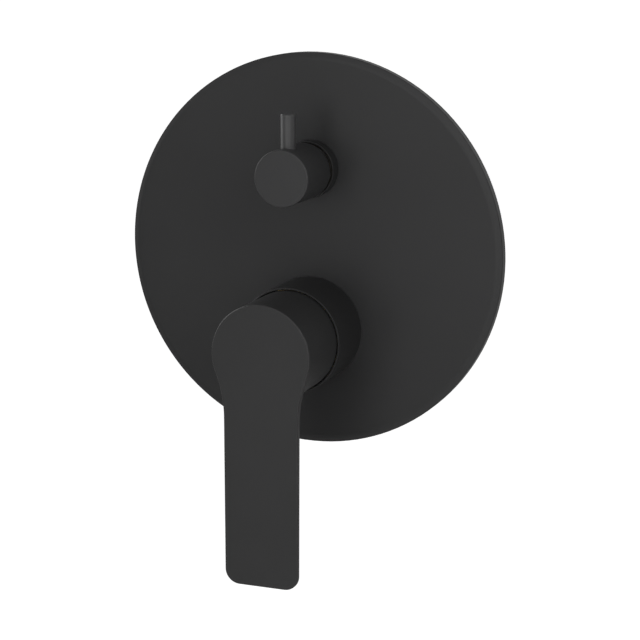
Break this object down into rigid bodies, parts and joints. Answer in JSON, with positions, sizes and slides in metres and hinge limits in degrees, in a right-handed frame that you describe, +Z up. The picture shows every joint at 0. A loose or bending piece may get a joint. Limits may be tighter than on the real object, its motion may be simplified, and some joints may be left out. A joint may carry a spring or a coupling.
{
  "type": "concealed shower mixer",
  "caption": "Wall shower mixer with a round cover plate, a flat lever that lifts for flow and turns for heat, and a small pin knob that diverts the water.",
  "frame": {"origin": "middle of the cover plate, on the finished wall", "axes": "+X to the right seen from the room, +Y into the wall, +Z up"},
  "size_m": [0.18, 0.1186, 0.2307],
  "materials": {
    "black_plate": "satin black coating on a pressed metal shell",
    "black_trim": "satin black coating on turned brass",
    "black_handle": "satin black coating on a zinc casting",
    "black_knob": "satin black coating on turned brass",
    "black_pin": "satin black coating on a steel pin",
    "black_plug": "moulded, matt",
    "cast_brass": "sand cast, blasted, with machined sockets",
    "turned_brass": "turned, bright",
    "gasket_foam": "closed-cell foam rubber",
    "rubber_seal": "moulded, matt",
    "casing_plastic": "moulded, matt",
    "base_plastic": "moulded, matt",
    "carrier_plastic": "moulded, matt",
    "turret_plastic": "moulded, matt",
    "disc_ceramic": "lapped alumina",
    "steel": "turned stainless steel"
  },
  "bodies": {
    "valve": {"valve_body": "cast_brass", "cover_plate": "black_plate", "wall_gasket": "gasket_foam", "mixer_sleeve": "black_trim", "mixer_sleeve_oring": "rubber_seal", "cartridge_nut": "turned_brass", "cartridge_casing": "casing_plastic", "cartridge_base": "base_plastic", "base_seal": "rubber_seal", "disc_seal": "rubber_seal", "fixed_disc": "disc_ceramic", "diverter_bonnet": "turned_brass", "bonnet_oring": "rubber_seal", "diverter_sleeve": "black_trim", "diverter_sleeve_oring": "rubber_seal", "diverter_seal": "rubber_seal", "diverter_fixed_disc": "disc_ceramic"},
    "turret": {"turret": "turret_plastic", "pivot_pin": "steel"},
    "lever": {"lever_handle": "black_handle", "stem": "turned_brass", "handle_grub_screw": "steel", "screw_plug": "black_plug"},
    "mixing_disc": {"moving_disc": "disc_ceramic", "disc_carrier": "carrier_plastic"},
    "diverter": {"diverter_knob": "black_knob", "knob_pin": "black_pin", "knob_grub_screw": "steel", "diverter_spindle": "turned_brass", "spindle_oring": "rubber_seal", "spindle_clip": "steel", "diverter_moving_disc": "disc_ceramic"}
  },
  "joints": [
    {"name": "temperature_turn", "type": "hinge", "parent": "valve", "child": "turret", "pos_m": [0, 0, -0.036], "axis": [0, 1, 0], "range_deg": [-45, 45]},
    {"name": "flow_lift", "type": "hinge", "parent": "turret", "child": "lever", "pos_m": [0, -0.037, -0.036], "axis": [-1, 0, 0], "range_deg": [0, 20]},
    {"name": "disc_slide", "type": "slide", "parent": "turret", "child": "mixing_disc", "axis": [0, 0, -1], "range_m": [0, 0.00514]},
    {"name": "diverter_turn", "type": "hinge", "parent": "valve", "child": "diverter", "pos_m": [0, 0, 0.038], "axis": [0, 1, 0], "range_deg": [0, 90]}
  ],
  "couplings": [
    {"joint": "disc_slide", "follows": "flow_lift", "m_per_rad": 0.014697}
  ]
}
